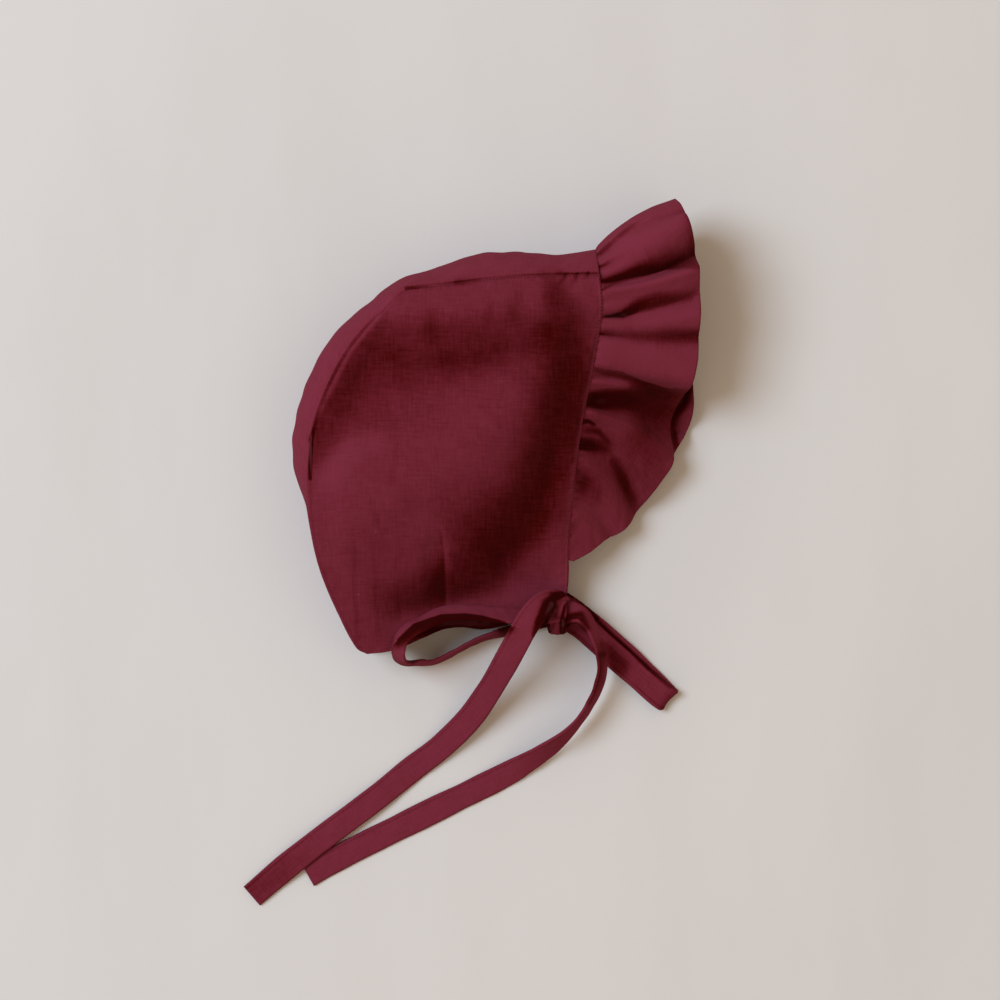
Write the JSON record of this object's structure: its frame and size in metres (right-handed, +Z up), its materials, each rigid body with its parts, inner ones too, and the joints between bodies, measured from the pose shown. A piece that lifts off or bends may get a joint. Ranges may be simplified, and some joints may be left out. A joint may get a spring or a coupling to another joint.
{
  "type": "baby sun bonnet",
  "caption": "Soft cloth baby sun bonnet lying on its side, with a centre strip over the crown, a gathered brim and chin ties in a bow.",
  "frame": {"origin": "on the surface that the bonnet lies on, under the middle of the lower side panel, on that panel's flat underside", "axes": "+X from the back of the head to the face, +Y from the neck to the crown, +Z up from the surface through both side panels"},
  "size_m": [0.2027, 0.3159, 0.0607],
  "materials": {
    "panel_linen": "matte plain-woven burgundy linen with a faint slub",
    "centre_linen": "matte plain-woven burgundy linen with a faint slub",
    "ruffle_linen": "matte gathered burgundy linen with a turned hem",
    "tie_linen": "matte flat sewn linen tie with pressed edges"
  },
  "bodies": {
    "root": {"side_panel_upper": "panel_linen", "side_panel_lower": "panel_linen", "centre_panel": "centre_linen", "brim_ruffle": "ruffle_linen", "bow_knot": "tie_linen", "bow_loop_left": "tie_linen", "bow_loop_right": "tie_linen", "tie_tail_long": "tie_linen", "tie_tail_curved": "tie_linen"}
  },
  "joints": []
}
